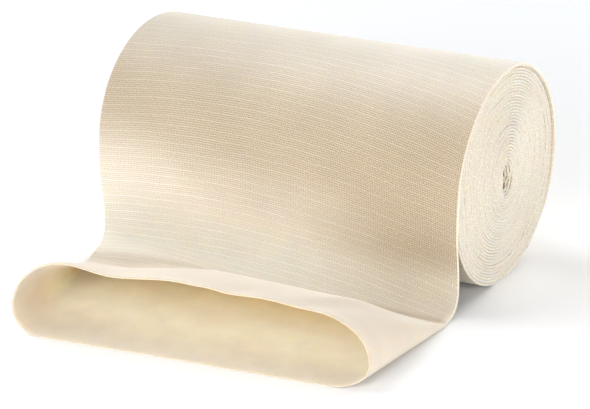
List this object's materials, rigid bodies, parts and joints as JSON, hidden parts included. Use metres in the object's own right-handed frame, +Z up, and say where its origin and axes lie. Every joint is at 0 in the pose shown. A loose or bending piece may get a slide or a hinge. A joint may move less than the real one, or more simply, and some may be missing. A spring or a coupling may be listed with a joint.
{
  "type": "tubular bandage roll",
  "caption": "Roll of wide elastic tubular bandage on its side, its outer end hanging down the front and lying forward as an open oval tube.",
  "frame": {"origin": "middle of the small flat spot that the roll rests on, on the surface", "axes": "+X along the roll's axis, +Y to the back, away from the loose end, +Z up"},
  "size_m": [0.3315, 0.3723, 0.1752],
  "materials": {
    "wound_knit": "matte cream ribbed elastic knit, wound",
    "loose_knit": "matte cream ribbed elastic knit with pale cross stripes"
  },
  "bodies": {
    "root": {"roll": "wound_knit", "loose_end": "loose_knit"}
  },
  "joints": []
}
